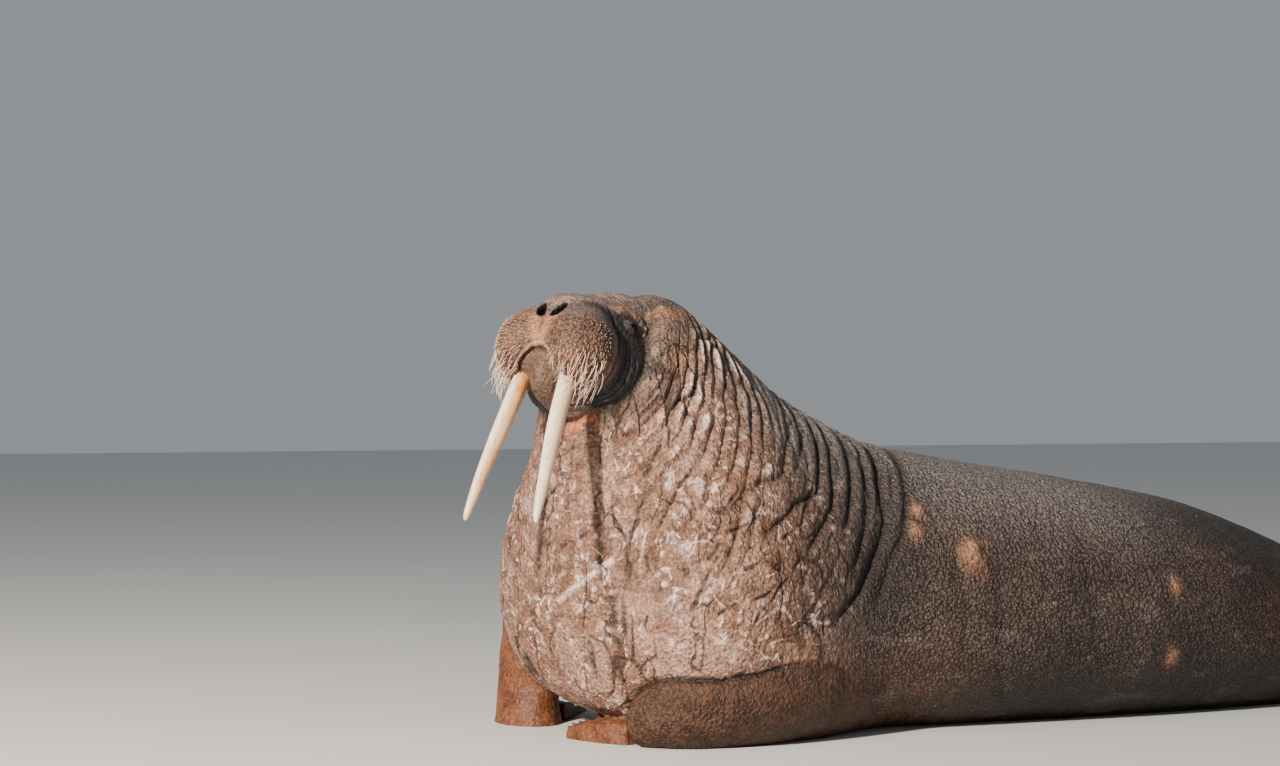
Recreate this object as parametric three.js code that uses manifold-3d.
// A bull walrus at life size, lying on its belly with its head raised and turned to its left.
// Millimetres, +Z up. The animal faces -X, its left side is towards -Y, and it rests on z = 0.
import * as THREE from "three";
import { LoftGeometry } from "three/addons/geometries/LoftGeometry.js";
import { mergeVertices } from "three/addons/utils/BufferGeometryUtils.js";
import Module from "manifold-3d";

const wasm = await Module();
wasm.setup();

// Driving dimensions
const GAP = 0.3; // clearance between pieces that touch
const SLACK = 0.1; // how far a surface may move when needless triangles are merged
const HEAD_TURN = THREE.MathUtils.degToRad(35); // how far the head looks to the animal's left
const HEAD_PITCH = THREE.MathUtils.degToRad(20); // how far the muzzle is lifted
const BEND_START = -500; // distance forward where the body starts to turn
const BEND_LENGTH = 1000; // length over which it turns
const EYE_FORE = 290; // distance forward of the line through the eyes
const EYE_HEIGHT = 1074;

// The body's profile before it turns to the side, from the tail to the back of the head. Top and
// bottom are points of the midline as [distance forward, height], half is half the width, waist is
// where a section is widest, as a share of its height from below, and crown and keel say how full
// it is above and below that: 2 is an ellipse, less is narrower and more is squarer.
const BODY = [
  { top: [-2560, 84], bottom: [-2560, 40], half: 26, waist: 0.5, crown: 2, keel: 2 },
  { top: [-2510, 132], bottom: [-2510, 14], half: 64, waist: 0.5, crown: 2, keel: 2 },
  { top: [-2380, 236], bottom: [-2380, -6], half: 142, waist: 0.48, crown: 2, keel: 2 },
  { top: [-2190, 348], bottom: [-2190, -20], half: 222, waist: 0.46, crown: 2, keel: 2.1 },
  { top: [-1950, 474], bottom: [-1950, -30], half: 316, waist: 0.45, crown: 2, keel: 2.2 },
  { top: [-1640, 586], bottom: [-1640, -34], half: 404, waist: 0.44, crown: 2.05, keel: 2.3 },
  { top: [-1300, 655], bottom: [-1300, -34], half: 460, waist: 0.43, crown: 2.1, keel: 2.3 },
  { top: [-960, 706], bottom: [-940, -34], half: 486, waist: 0.43, crown: 2.1, keel: 2.3 },
  { top: [-705, 750], bottom: [-580, -34], half: 494, waist: 0.42, crown: 2.1, keel: 2.3 },
  { top: [-548, 792], bottom: [-230, -26], half: 492, waist: 0.4, crown: 2, keel: 2.3 },
  { top: [-418, 852], bottom: [90, 22], half: 488, waist: 0.36, crown: 1.9, keel: 2.35 },
  { top: [-300, 918], bottom: [306, 104], half: 472, waist: 0.34, crown: 1.75, keel: 2.4 },
  { top: [-200, 992], bottom: [390, 300], half: 420, waist: 0.34, crown: 1.7, keel: 2.4 },
  { top: [-114, 1064], bottom: [400, 500], half: 326, waist: 0.36, crown: 1.75, keel: 2.3 },
  { top: [-40, 1120], bottom: [398, 660], half: 250, waist: 0.4, crown: 1.85, keel: 2.2 },
  { top: [36, 1160], bottom: [408, 776], half: 208, waist: 0.45, crown: 1.95, keel: 2.1 },
  { top: [108, 1172], bottom: [400, 856], half: 180, waist: 0.5, crown: 2, keel: 2 },
  { top: [140, 1152], bottom: [386, 892], half: 154, waist: 0.5, crown: 2, keel: 2 },
  { top: [166, 1128], bottom: [376, 932], half: 116, waist: 0.5, crown: 2, keel: 2 },
];
const BODY_SIDES = 36;

// The named lengths of the body: stations of BODY where each starts and ends, and its rings
const LENGTHS = [
  { name: "tail", from: 0, to: 2.4, rings: 4 },
  { name: "hindquarters", from: 2.4, to: 5.5, rings: 6 },
  { name: "torso", from: 5.5, to: 9, rings: 8 },
  { name: "chest", from: 9, to: 12.4, rings: 16 },
  { name: "neck", from: 12.4, to: 15.8, rings: 18 },
];
const LIP_RINGS = 2; // rings of the neck's lip, which rolls in round the head

// The folds of the hide: every second ring between two stations is pressed in by the depth on
// top, and by less further down, to nothing where the height is low times half the section's
const FOLDS = [
  { from: 9, to: 11.8, depth: 14, low: -0.25 }, // behind the shoulder
  { from: 12.2, to: 15.8, depth: 10, low: -0.9 }, // round the neck
];

// The head's masses, in the head's own frame: forward, to its left, up, from between the eyes.
// Each is an ellipsoid that flows into the ones before it over the distance given by blend.
const HEAD_MASSES = [
  { at: [-108, 0, -12], radii: [190, 136, 146], blend: 0 },
  { at: [60, 0, -56], radii: [150, 124, 118], blend: 60 },
  { at: [122, 0, -24], radii: [76, 74, 60], blend: 40 }, // nose
  { at: [142, 0, -78], radii: [92, 60, 56], blend: 30 }, // upper lip, between the whisker pads
];
const HEAD_PAIRS = [
  { at: [-36, 88, -125], radii: [134, 90, 110], blend: 50 }, // cheeks
  { at: [6, 78, 10], radii: [48, 40, 42], blend: 14 }, // brows, which the eyes sit in
  { at: [150, 78, -106], radii: [98, 82, 100], blend: 40 }, // whisker pads
];
const CHIN_MASSES = [
  { at: [128, 0, -168], radii: [98, 66, 84], blend: 8 },
  { at: [30, 0, -170], radii: [130, 88, 88], blend: 40 },
];
const PAD_REGION = { at: [168, 92, -104], radii: [104, 84, 112], detail: 2 };
const CHIN_REGION = { at: [100, 0, -205], radii: [150, 74, 96], detail: 2 };
const HEAD_MIDDLE = [90, 0, -85]; // the head's skin is found along lines from here
const HEAD_DETAIL = 8;

const EYE = { at: [15, 115, 0], radius: 19 };
const LID = { thickness: 7, reach: 15 }; // of a lid, and how far its middle is from the eye's slit
const NOSTRIL = { at: [206, 28, -28], radii: [24, 11, 17], turn: [0.5, 0, 0] };
const EAR = { station: 16.5, angle: 22, radius: 6, deep: 14 }; // on the neck's lip, degrees above its side

const TUSK = [
  { at: [150, 60, -100], wide: 19, thick: 16 },
  { at: [168, 70, -187], wide: 24, thick: 20 },
  { at: [194, 82, -330], wide: 24, thick: 20 },
  { at: [216, 97, -470], wide: 18, thick: 15 },
  { at: [228, 106, -570], wide: 11, thick: 10 },
  { at: [230, 110, -600], wide: 4, thick: 4 },
];

const WHISKERS = {
  rows: 9,
  perRow: 6,
  radius: 2.2,
  sunk: 12,
  clearance: 4, // from the tusk
  short: 14, // beside the nose
  long: 72, // low on the outside
  hang: 1.9, // how much more a low one leans down than away from the pad
  droop: 0.4, // how far the tip of a long one hangs, as a share of its length
};

// The forearms, in the body's frame: the left lies on its side along the belly, the right stands
const LEFT_ARM = {
  sideways: [0, 1, 0],
  rows: [
    { at: [500, -260, 200], wide: 60, thick: 90 },
    { at: [350, -340, 162], wide: 112, thick: 142 },
    { at: [170, -414, 144], wide: 134, thick: 146 },
    { at: [0, -434, 126], wide: 128, thick: 138 },
    { at: [-130, -414, 92], wide: 106, thick: 108 },
    { at: [-205, -352, 46], wide: 64, thick: 48 },
  ],
};
const RIGHT_ARM = {
  sideways: [0, 1, 0],
  rows: [
    { at: [-20, 190, 470], wide: 70, thick: 80 },
    { at: [-212, 292, 352], wide: 116, thick: 92 },
    { at: [-258, 298, 212], wide: 96, thick: 84 },
    { at: [-288, 254, 100], wide: 104, thick: 78 },
    { at: [-294, 230, -30], wide: 130, thick: 92 },
  ],
};

// The flippers: where the wrist is, which way the flipper points (degrees from +X towards +Y),
// its length, half its width and its thickness from wrist to tip, the reach of its five digits as
// shares of the length, and the lengths of their claws
const LEFT_HAND = {
  at: [-180, -330, 0],
  heading: 106,
  length: 290,
  wide: [58, 80, 90, 92],
  thick: [60, 58, 50, 30],
  reach: [1, 1.02, 0.97, 0.9, 0.8],
  claws: [12, 14, 14, 13, 12],
};
const RIGHT_HAND = {
  at: [-262, 250, 0],
  heading: 62,
  length: 350,
  wide: [84, 96, 106, 112],
  thick: [56, 46, 30, 13],
  reach: [0.8, 0.9, 0.97, 1.02, 1],
  claws: [12, 13, 14, 14, 12],
};
const HIND_FLIPPER = {
  at: [2310, 122, 0],
  heading: 14,
  length: 580,
  wide: [70, 84, 112, 146, 190],
  thick: [130, 84, 50, 30, 12],
  reach: [1.02, 0.96, 0.94, 0.96, 1.02],
  claws: [14, 28, 32, 28, 14],
};
const FLIPPER_RINGS = 6;
const WEB_NOTCH = 0.09; // how far the web stops short of the digits' tips, as a share of the length
const PER_DIGIT = 4; // points across each digit

const SKIN_BROWN = new THREE.Color(0.26, 0.17, 0.12);
const MUZZLE_BROWN = new THREE.Color(0.36, 0.2, 0.12);
const FLIPPER_BROWN = new THREE.Color(0.33, 0.17, 0.09);
const IVORY = new THREE.Color(0.86, 0.78, 0.62);
const HORN = new THREE.Color(0.09, 0.07, 0.06);
const EYE_DARK = new THREE.Color(0.05, 0.03, 0.03);

const skin = new THREE.MeshStandardMaterial({ color: SKIN_BROWN, roughness: 0.75, metalness: 0 });
const muzzle = new THREE.MeshStandardMaterial({ color: MUZZLE_BROWN, roughness: 0.7, metalness: 0 });
const flipperSkin = new THREE.MeshStandardMaterial({ color: FLIPPER_BROWN, roughness: 0.6, metalness: 0 });
const ivory = new THREE.MeshStandardMaterial({ color: IVORY, roughness: 0.35, metalness: 0 });
const horn = new THREE.MeshStandardMaterial({ color: HORN, roughness: 0.5, metalness: 0 });
const cornea = new THREE.MeshStandardMaterial({ color: EYE_DARK, roughness: 0.1, metalness: 0 });

// Solids

function toSolid(geometry) {
  const bare = new THREE.BufferGeometry();
  bare.setAttribute("position", geometry.getAttribute("position"));
  if (geometry.index) bare.setIndex(geometry.index);
  const merged = mergeVertices(bare, 1e-3);
  return new wasm.Manifold(
    new wasm.Mesh({
      numProp: 3,
      vertProperties: Float32Array.from(merged.attributes.position.array),
      triVerts: Uint32Array.from(merged.index.array),
    }),
  );
}

function toGeometry(solid) {
  const mesh = solid.getMesh();
  const positions = new Float32Array(mesh.numVert * 3);
  for (let i = 0; i < mesh.numVert; i++) {
    positions.set(mesh.vertProperties.subarray(i * mesh.numProp, i * mesh.numProp + 3), i * 3);
  }
  const geometry = new THREE.BufferGeometry();
  geometry.setAttribute("position", new THREE.BufferAttribute(positions, 3));
  geometry.setIndex(new THREE.BufferAttribute(Uint32Array.from(mesh.triVerts), 1));
  geometry.computeVertexNormals();
  return geometry;
}

const join = (solids) => wasm.Manifold.union(solids);

function largest(solid) {
  return solid.decompose().sort((a, b) => b.volume() - a.volume())[0];
}

// Repeatable random numbers from 0 to 1
function seeded(seed) {
  let state = seed;
  return () => {
    state = (state * 1664525 + 1013904223) % 4294967296;
    return state / 4294967296;
  };
}

// The same row of numbers on the left (side 1) or the right (side -1) of the midline
const toSide = ([forward, left, up], side) => [forward, left * side, up];

// A rounded mass: an ellipsoid with its radii enlarged by grow
function mass({ at, radii, detail, turn = [0, 0, 0] }, grow = 0) {
  const geometry = new THREE.IcosahedronGeometry(1, detail);
  geometry.scale(radii[0] + grow, radii[1] + grow, radii[2] + grow);
  geometry.applyQuaternion(new THREE.Quaternion().setFromEuler(new THREE.Euler(...turn)));
  geometry.translate(...at);
  return toSolid(geometry);
}

const massOn = (side, spec, grow = 0) =>
  mass({ ...spec, at: toSide(spec.at, side), turn: (spec.turn ?? [0, 0, 0]).map((angle) => angle * side) }, grow);

// A limb, tusk, digit or lid: elliptical sections along a smooth curve through rows of
// { at, wide, thick }, which are half sizes. Sideways is the direction in which wide is measured.
function limb(rows, { rings, sides, sideways }, grow = 0) {
  const path = new THREE.CatmullRomCurve3(
    rows.map((row) => new THREE.Vector3(...row.at)),
    false,
    "catmullrom",
  );
  const sizes = new THREE.CatmullRomCurve3(
    rows.map((row) => new THREE.Vector3(row.wide, row.thick, 0)),
    false,
    "catmullrom",
  );
  const across = new THREE.Vector3(...sideways);
  const sections = [];
  for (let i = 0; i <= rings; i++) {
    const t = i / rings;
    const centre = path.getPoint(t);
    const along = path.getTangent(t);
    const side = across.clone().addScaledVector(along, -across.dot(along)).normalize();
    const up = new THREE.Vector3().crossVectors(along, side);
    const size = sizes.getPoint(t);
    if (i === 0) centre.addScaledVector(along, -grow);
    if (i === rings) centre.addScaledVector(along, grow);
    const section = [];
    for (let j = 0; j < sides; j++) {
      const angle = (j / sides) * 2 * Math.PI;
      section.push(
        centre
          .clone()
          .addScaledVector(side, (size.x + grow) * Math.cos(angle))
          .addScaledVector(up, (size.y + grow) * Math.sin(angle)),
      );
    }
    sections.push(section);
  }
  return toSolid(new LoftGeometry(sections, { capStart: true, capEnd: true }));
}

// The body

// A point given by its distance forward and height, carried round the turn to the animal's left
function turned([fore, height]) {
  const radius = BEND_LENGTH / HEAD_TURN;
  const share = THREE.MathUtils.clamp((fore - BEND_START) / BEND_LENGTH, 0, 1);
  const angle = share * HEAD_TURN;
  const before = Math.min(fore, BEND_START);
  const after = Math.max(fore - BEND_START - BEND_LENGTH, 0);
  return {
    point: new THREE.Vector3(
      -(before + radius * Math.sin(angle) + after * Math.cos(angle)),
      -(radius * (1 - Math.cos(angle)) + after * Math.sin(angle)),
      height,
    ),
    left: new THREE.Vector3(Math.sin(angle), -Math.cos(angle), 0),
  };
}

const curve = (pick) => new THREE.CatmullRomCurve3(BODY.map(pick), false, "catmullrom");
const TOP = curve((row) => new THREE.Vector3(row.top[0], 0, row.top[1]));
const BOTTOM = curve((row) => new THREE.Vector3(row.bottom[0], 0, row.bottom[1]));
const SIZE = curve((row) => new THREE.Vector3(row.half, 0, 0));
const SHAPE = curve((row) => new THREE.Vector3(row.waist, row.crown, row.keel));

// The plane of the section at a station: its middle, its axes and its half sizes
function sectionPlane(station) {
  const t = station / (BODY.length - 1);
  const top = TOP.getPoint(t);
  const bottom = BOTTOM.getPoint(t);
  const { x: waist, y: crown, z: keel } = SHAPE.getPoint(t);
  const topPoint = turned([top.x, top.z]).point;
  const bottomPoint = turned([bottom.x, bottom.z]).point;
  const up = topPoint.clone().sub(bottomPoint);
  const height = up.length();
  up.normalize();
  const { left } = turned([bottom.x + (top.x - bottom.x) * waist, 0]);
  left.addScaledVector(up, -left.dot(up)).normalize();
  return {
    centre: bottomPoint.lerp(topPoint, waist),
    up,
    left,
    forward: new THREE.Vector3().crossVectors(left, up),
    half: SIZE.getPoint(t).x,
    above: height * (1 - waist),
    below: height * waist,
    crown,
    keel,
  };
}

function foldDepth(station, upward) {
  const fold = FOLDS.find(({ from, to }) => station > from && station < to);
  return fold ? fold.depth * THREE.MathUtils.smoothstep(upward, fold.low, 1) : 0;
}

function bodySection(station, grow, folded = false) {
  const plane = sectionPlane(station);
  const points = [];
  for (let j = 0; j < BODY_SIDES; j++) {
    const angle = (j / BODY_SIDES) * 2 * Math.PI;
    const power = 2 / (angle < Math.PI ? plane.crown : plane.keel);
    const across = Math.sign(Math.cos(angle)) * Math.abs(Math.cos(angle)) ** power;
    const upward = Math.sign(Math.sin(angle)) * Math.abs(Math.sin(angle)) ** power;
    const out = grow - (folded ? foldDepth(station, upward) : 0);
    const rise = (upward > 0 ? plane.above : plane.below) + out;
    points.push(
      plane.centre
        .clone()
        .addScaledVector(plane.left, (plane.half + out) * across)
        .addScaledVector(plane.up, rise * upward),
    );
  }
  return points;
}

function body(grow = 0) {
  const sections = [];
  for (const { from, to, rings } of LENGTHS) {
    for (let i = 0; i < rings; i++) {
      sections.push(bodySection(from + ((to - from) * i) / rings, grow, i % 2 === 1));
    }
  }
  const end = BODY.length - 1;
  const lip = LENGTHS.at(-1).to;
  for (let i = 0; i <= LIP_RINGS; i++) sections.push(bodySection(lip + ((end - lip) * i) / LIP_RINGS, grow));
  return toSolid(new LoftGeometry(sections, { capStart: true, capEnd: true }));
}

// What a solid has in front of a station, or behind it, with half of the gap left free
function beyond(solid, station, way) {
  const { centre, forward } = sectionPlane(station);
  const normal = forward.multiplyScalar(way);
  return solid.trimByPlane(normal.toArray(), normal.dot(centre) + GAP / 2);
}

// What lies under the floor is trimmed off, which leaves the flats that the animal rests on
const underFloor = toSolid(new THREE.BoxGeometry(6000, 4000, 600).translate(0, 0, -300));
const onFloor = (solid) => largest(solid.subtract(underFloor));

// The head

function headFrame() {
  const forward = new THREE.Vector3(
    -Math.cos(HEAD_TURN) * Math.cos(HEAD_PITCH),
    -Math.sin(HEAD_TURN) * Math.cos(HEAD_PITCH),
    Math.sin(HEAD_PITCH),
  );
  const left = new THREE.Vector3(Math.sin(HEAD_TURN), -Math.cos(HEAD_TURN), 0);
  const up = new THREE.Vector3().crossVectors(forward, left);
  return new THREE.Matrix4().makeBasis(forward, left, up).setPosition(turned([EYE_FORE, EYE_HEIGHT]).point);
}
const HEAD = headFrame().elements;
const onHead = (solid) => solid.transform(HEAD);

// How far a point is outside an ellipsoid, nearly
function outside(point, { at, radii }) {
  const x = point.x - at[0];
  const y = point.y - at[1];
  const z = point.z - at[2];
  const near = Math.hypot(x / radii[0], y / radii[1], z / radii[2]);
  const slope = Math.hypot(x / radii[0] ** 2, y / radii[1] ** 2, z / radii[2] ** 2);
  return (near * (near - 1)) / Math.max(slope, 1e-9);
}

function blended(a, b, blend) {
  if (blend === 0) return Math.min(a, b);
  const overlap = Math.max(blend - Math.abs(a - b), 0) / blend;
  return Math.min(a, b) - (overlap * overlap * blend) / 4;
}

const ALL_HEAD = [
  ...HEAD_MASSES,
  ...HEAD_PAIRS.flatMap((spec) => [spec, { ...spec, at: toSide(spec.at, -1) }]),
  ...CHIN_MASSES,
];

// How far a point in the head's frame is outside its skin
function outsideHead(point) {
  let distance = Infinity;
  for (const spec of ALL_HEAD) distance = blended(distance, outside(point, spec), spec.blend);
  return distance;
}

// The outermost point of the head's skin on a line from a point inside it
function headSkin(from, direction) {
  let reach = 460;
  const point = new THREE.Vector3();
  for (let step = 0; step < 80; step++) {
    const distance = outsideHead(point.copy(from).addScaledVector(direction, reach));
    if (distance < 0.02) break;
    reach -= distance * 0.9;
  }
  return point;
}

function headFlesh() {
  const geometry = new THREE.IcosahedronGeometry(1, HEAD_DETAIL);
  const positions = geometry.getAttribute("position");
  const middle = new THREE.Vector3(...HEAD_MIDDLE);
  const direction = new THREE.Vector3();
  for (let i = 0; i < positions.count; i++) {
    const point = headSkin(middle, direction.fromBufferAttribute(positions, i).normalize());
    positions.setXYZ(i, point.x, point.y, point.z);
  }
  return toSolid(geometry);
}

function eye(side, grow = 0) {
  const radius = EYE.radius + grow;
  return massOn(side, { at: EYE.at, radii: [radius, radius, radius], detail: 2 });
}

// The two lids of an eye, which arch over and under it from corner to corner
function lids(side) {
  const middle = EYE.radius + 1;
  const reach = EYE.radius * 1.25;
  return [1, -0.8].map((way) => {
    const rows = [-1, -0.55, 0, 0.55, 1].map((share) => {
      const rise = way * LID.reach * Math.cos((share * Math.PI) / 2);
      const out = Math.sqrt(Math.max(middle ** 2 - rise ** 2 - (share * reach * 0.8) ** 2, 4)) - 2;
      return {
        at: toSide([EYE.at[0] + share * reach, EYE.at[1] + out, EYE.at[2] + rise], side),
        wide: LID.thickness * (1 - 0.3 * Math.abs(share)),
        thick: LID.thickness * (1 - 0.3 * Math.abs(share)),
      };
    });
    return limb(rows, { rings: 6, sides: 6, sideways: [0, 1, 0] });
  });
}

function tusk(side, grow = 0) {
  const rows = TUSK.map((row) => ({ ...row, at: toSide(row.at, side) }));
  return limb(rows, { rings: 10, sides: 12, sideways: [1, 0, 0] }, grow);
}

const nostril = (side) => massOn(side, { ...NOSTRIL, detail: 2 });

// The pit of an ear, in the body's frame
function ear(side) {
  const { centre, left, up, half, above } = sectionPlane(EAR.station);
  const angle = THREE.MathUtils.degToRad(EAR.angle);
  const at = centre
    .addScaledVector(left, side * half * Math.cos(angle))
    .addScaledVector(up, above * Math.sin(angle));
  return mass({ at: at.toArray(), radii: [EAR.radius, EAR.deep, EAR.radius], detail: 1 });
}

// A whisker: a three-sided spine that leans out from its root and hangs
function whisker(root, direction, length) {
  const geometry = new THREE.ConeGeometry(WHISKERS.radius, length + WHISKERS.sunk, 3, 2);
  geometry.translate(0, (length + WHISKERS.sunk) / 2 - WHISKERS.sunk, 0);
  const positions = geometry.getAttribute("position");
  const turn = new THREE.Quaternion().setFromUnitVectors(new THREE.Vector3(0, 1, 0), direction);
  const point = new THREE.Vector3();
  for (let i = 0; i < positions.count; i++) {
    point.fromBufferAttribute(positions, i);
    const share = Math.max(point.y, 0) / length;
    point.applyQuaternion(turn).add(root);
    point.z -= WHISKERS.droop * length * share * share;
    positions.setXYZ(i, point.x, point.y, point.z);
  }
  return toSolid(geometry);
}

// The whiskers of one pad, in rows from beside the nose down to the lip
function whiskers(side) {
  const random = seeded(side > 0 ? 11 : 12);
  const middle = new THREE.Vector3(...toSide(HEAD_PAIRS.at(-1).at, side));
  const all = [];
  for (let row = 0; row < WHISKERS.rows; row++) {
    for (let column = 0; column < WHISKERS.perRow; column++) {
      const down = (row + 0.5 + 0.5 * (random() - 0.5)) / WHISKERS.rows;
      const out = (column + 0.5 + 0.5 * (random() - 0.5) + (row % 2) * 0.4 - 0.2) / WHISKERS.perRow;
      const pitch = THREE.MathUtils.degToRad(38 - 92 * down);
      const yaw = THREE.MathUtils.degToRad(-28 + 100 * out);
      const direction = new THREE.Vector3(
        Math.cos(pitch) * Math.cos(yaw),
        side * Math.cos(pitch) * Math.sin(yaw),
        Math.sin(pitch),
      );
      const root = headSkin(middle, direction);
      const lean = direction.clone().add(new THREE.Vector3(0, 0, -WHISKERS.hang * down)).normalize();
      const share = THREE.MathUtils.smoothstep(0.45 * out + 0.6 * down, 0.3, 1);
      const length = (WHISKERS.short + (WHISKERS.long - WHISKERS.short) * share) * (0.85 + 0.3 * random());
      all.push(whisker(root, lean, length));
    }
  }
  return join(all);
}

// The limbs

// A value that runs evenly through a list as share goes from 0 to 1
function along(list, share) {
  const place = THREE.MathUtils.clamp(share, 0, 1) * (list.length - 1);
  const index = Math.min(Math.floor(place), list.length - 2);
  return THREE.MathUtils.lerp(list[index], list[index + 1], place - index);
}

// The point of a flipper at a share of its length and across it from -1 to 1, in its own frame:
// along, to its left, up. The digits stand out of the web as ridges and reach beyond it.
function flipperPoint(spec, share, across) {
  const digits = spec.reach.length;
  const ridge = 0.5 - 0.5 * Math.cos(Math.PI * (across + 1) * digits);
  const digitPlace = ((across + 1) * digits - 1) / (2 * (digits - 1));
  const reach = along(spec.reach, digitPlace) - WEB_NOTCH * (1 - ridge) * share ** 4;
  const edge = Math.sqrt(1 - 0.92 * across ** 8);
  const thick = along(spec.thick, share) * edge * (1 - 0.3 * (1 - ridge) * Math.min(share * 3, 1));
  return new THREE.Vector3(spec.length * reach * share, along(spec.wide, share) * across, thick);
}

function flipperPlate(spec) {
  const columns = spec.reach.length * PER_DIGIT;
  const sections = [];
  for (let i = 0; i <= FLIPPER_RINGS; i++) {
    const share = i / FLIPPER_RINGS;
    const section = [];
    for (let j = 0; j <= columns; j++) section.push(flipperPoint(spec, share, 1 - (2 * j) / columns));
    for (let j = columns; j >= 0; j -= 2) {
      const point = flipperPoint(spec, share, 1 - (2 * j) / columns);
      point.z *= i === FLIPPER_RINGS ? 0.3 : 0;
      if (j === columns || j === 0) point.z += 0.25 * section[j].z;
      section.push(point);
    }
    sections.push(section);
  }
  return toSolid(new LoftGeometry(sections, { capStart: true, capEnd: true }));
}

// The claw of a digit, which lies on top of it near its tip
function claw(spec, index, grow = 0) {
  const across = (2 * index + 1) / spec.reach.length - 1;
  const size = spec.claws[index];
  const tip = flipperPoint(spec, 1, across);
  const root = flipperPoint(spec, 1 - (0.9 * size) / spec.length, across);
  const rows = [
    { at: [root.x - 0.5 * size, root.y, root.z - 0.1 * size], wide: 0.16 * size, thick: 0.15 * size },
    { at: [root.x, root.y, root.z], wide: 0.16 * size, thick: 0.15 * size },
    { at: [tip.x - 0.15 * size, tip.y, tip.z + 0.1 * size], wide: 0.04 * size, thick: 0.04 * size },
  ];
  return limb(rows, { rings: 3, sides: 5, sideways: [0, 1, 0] }, grow);
}

const flipperFrame = ({ at, heading }) =>
  new THREE.Matrix4().makeRotationZ(THREE.MathUtils.degToRad(heading)).setPosition(...at).elements;

function flipper(spec) {
  const claws = spec.claws.map((_, i) => claw(spec, i, GAP));
  return flipperPlate(spec).subtract(join(claws)).transform(flipperFrame(spec));
}

const arm = (spec, grow = 0) => limb(spec.rows, { rings: 9, sides: 14, sideways: spec.sideways }, grow);

// The scene

const walrus = new THREE.Group();
walrus.name = "walrus";

function place(name, solid, material) {
  const mesh = new THREE.Mesh(toGeometry(solid.simplify(SLACK)), material);
  mesh.name = name;
  walrus.add(mesh);
}

const SIDES = [
  { name: "left", side: 1 },
  { name: "right", side: -1 },
];

const flesh = join([body(), onHead(headFlesh())]);
for (const { name, from, to } of LENGTHS) {
  const behind = beyond(flesh, to, -1);
  place(name, onFloor(from > 0 ? beyond(behind, from, 1) : behind), skin);
}

const eyeSockets = join(SIDES.map(({ side }) => onHead(eye(side, GAP))));
const tuskSockets = join(SIDES.map(({ side }) => onHead(tusk(side, GAP))));
const openings = join(SIDES.flatMap(({ side }) => [onHead(nostril(side)), ear(side)]));
const lidded = join([flesh, ...SIDES.flatMap(({ side }) => lids(side).map(onHead))]);
const headWhole = beyond(lidded, LENGTHS.at(-1).to, 1).subtract(join([eyeSockets, tuskSockets, openings]));
const regions = {
  chin: (grow) => onHead(mass(CHIN_REGION, grow)),
  pad: (side, grow) => onHead(massOn(side, PAD_REGION, grow)),
};
const grownPads = join([regions.pad(1, GAP), regions.pad(-1, GAP)]);
place("head", largest(headWhole.subtract(join([grownPads, regions.chin(GAP)]))), skin);
place("lower_jaw", largest(headWhole.intersect(regions.chin(0)).subtract(grownPads)), muzzle);

for (const { name, side } of SIDES) {
  const bare = headWhole.intersect(regions.pad(side, 0));
  const clear = side > 0 ? bare : bare.subtract(regions.pad(1, GAP));
  const neighbours = headWhole.subtract(regions.pad(side, 0));
  const roomForTusk = onHead(tusk(side, WHISKERS.clearance));
  const bristles = onHead(whiskers(side)).subtract(join([neighbours, roomForTusk]));
  place(`whisker_pad_${name}`, largest(join([largest(clear), bristles])), muzzle);
  place(`eye_${name}`, onHead(eye(side)), cornea);
  place(`tusk_${name}`, onHead(tusk(side)), ivory);
}

const grownFlesh = body(GAP);
for (const { name, side } of SIDES) {
  const armSpec = side > 0 ? LEFT_ARM : RIGHT_ARM;
  const handSpec = side > 0 ? LEFT_HAND : RIGHT_HAND;
  place(`forearm_${name}`, onFloor(arm(armSpec).subtract(grownFlesh)), flipperSkin);
  const grownArm = arm(armSpec, GAP);
  place(`fore_flipper_${name}`, onFloor(flipper(handSpec).subtract(join([grownArm, grownFlesh]))), flipperSkin);
  const hind = { ...HIND_FLIPPER, at: toSide(HIND_FLIPPER.at, -side), heading: HIND_FLIPPER.heading * -side };
  place(`hind_flipper_${name}`, onFloor(flipper(hind).subtract(grownFlesh)), flipperSkin);
  for (const [limbName, spec] of [["fore", handSpec], ["hind", hind]]) {
    spec.claws.forEach((_, i) => {
      place(`claw_${limbName}_${name}_${i + 1}`, claw(spec, i).transform(flipperFrame(spec)), horn);
    });
  }
}

// The origin goes to the middle of the footprint, on the floor
const box = new THREE.Box3().setFromObject(walrus);
const middle = box.getCenter(new THREE.Vector3());
for (const mesh of walrus.children) mesh.geometry.translate(-middle.x, -middle.y, 0);

export default walrus;
